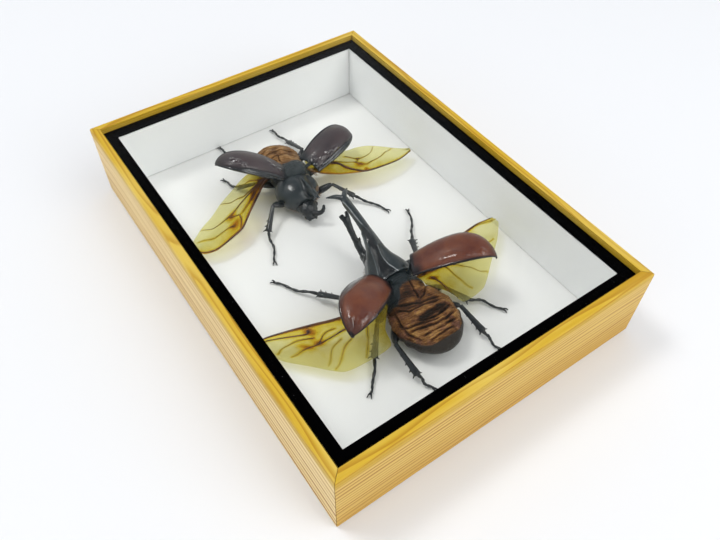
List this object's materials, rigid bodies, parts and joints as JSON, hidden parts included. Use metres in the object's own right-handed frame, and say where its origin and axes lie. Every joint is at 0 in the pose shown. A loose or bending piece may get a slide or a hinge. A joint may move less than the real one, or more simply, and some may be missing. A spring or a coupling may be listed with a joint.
{
  "type": "framed beetle display box",
  "caption": "Shallow glazed pine display box, lying on its back, with mounted horned beetles set inside on white card with wings spread.",
  "frame": {"origin": "middle of the box's underside, which is the back panel's outer face", "axes": "+Z out of the back and up through the glass, +Y along the long side, +X across; the large beetle's head points to +Y"},
  "size_m": [0.128, 0.178, 0.0328],
  "materials": {
    "pine": "planed pine under a thin clear coat, streaked grain along each rail",
    "glass": "clear window glass",
    "black_card": "smooth black border card with a few specks of dust",
    "white_card": "matt white card",
    "fibreboard": "plain brown hardboard",
    "black_cuticle": "glossy black horn",
    "chestnut_cuticle": "glossy chestnut brown with a dark rim",
    "plum_cuticle": "glossy dark plum brown with a black rim",
    "dried_abdomen": "wrinkled, dried, reddish brown",
    "wing_membrane": "see-through pale yellow membrane with amber and dark brown veins"
  },
  "bodies": {
    "root": {"rail_left": "pine", "rail_right": "pine", "rail_front": "pine", "rail_back": "pine", "glass_pane": "glass", "black_border": "black_card", "back_panel": "fibreboard", "floor_card": "white_card", "liner_left": "white_card", "liner_right": "white_card", "liner_front": "white_card", "liner_back": "white_card", "large_beetle_body": "dried_abdomen", "large_beetle_pronotum": "black_cuticle", "large_beetle_head": "black_cuticle", "large_beetle_wing_case_left": "chestnut_cuticle", "large_beetle_wing_case_right": "chestnut_cuticle", "large_beetle_hind_wing_left": "wing_membrane", "large_beetle_hind_wing_right": "wing_membrane", "large_beetle_front_leg_left": "black_cuticle", "large_beetle_front_leg_right": "black_cuticle", "large_beetle_middle_leg_left": "black_cuticle", "large_beetle_middle_leg_right": "black_cuticle", "large_beetle_hind_leg_left": "black_cuticle", "large_beetle_hind_leg_right": "black_cuticle", "small_beetle_body": "dried_abdomen", "small_beetle_pronotum": "black_cuticle", "small_beetle_head": "black_cuticle", "small_beetle_wing_case_left": "plum_cuticle", "small_beetle_wing_case_right": "plum_cuticle", "small_beetle_hind_wing_left": "wing_membrane", "small_beetle_hind_wing_right": "wing_membrane", "small_beetle_front_leg_left": "black_cuticle", "small_beetle_front_leg_right": "black_cuticle", "small_beetle_middle_leg_left": "black_cuticle", "small_beetle_middle_leg_right": "black_cuticle", "small_beetle_hind_leg_left": "black_cuticle", "small_beetle_hind_leg_right": "black_cuticle"}
  },
  "joints": []
}
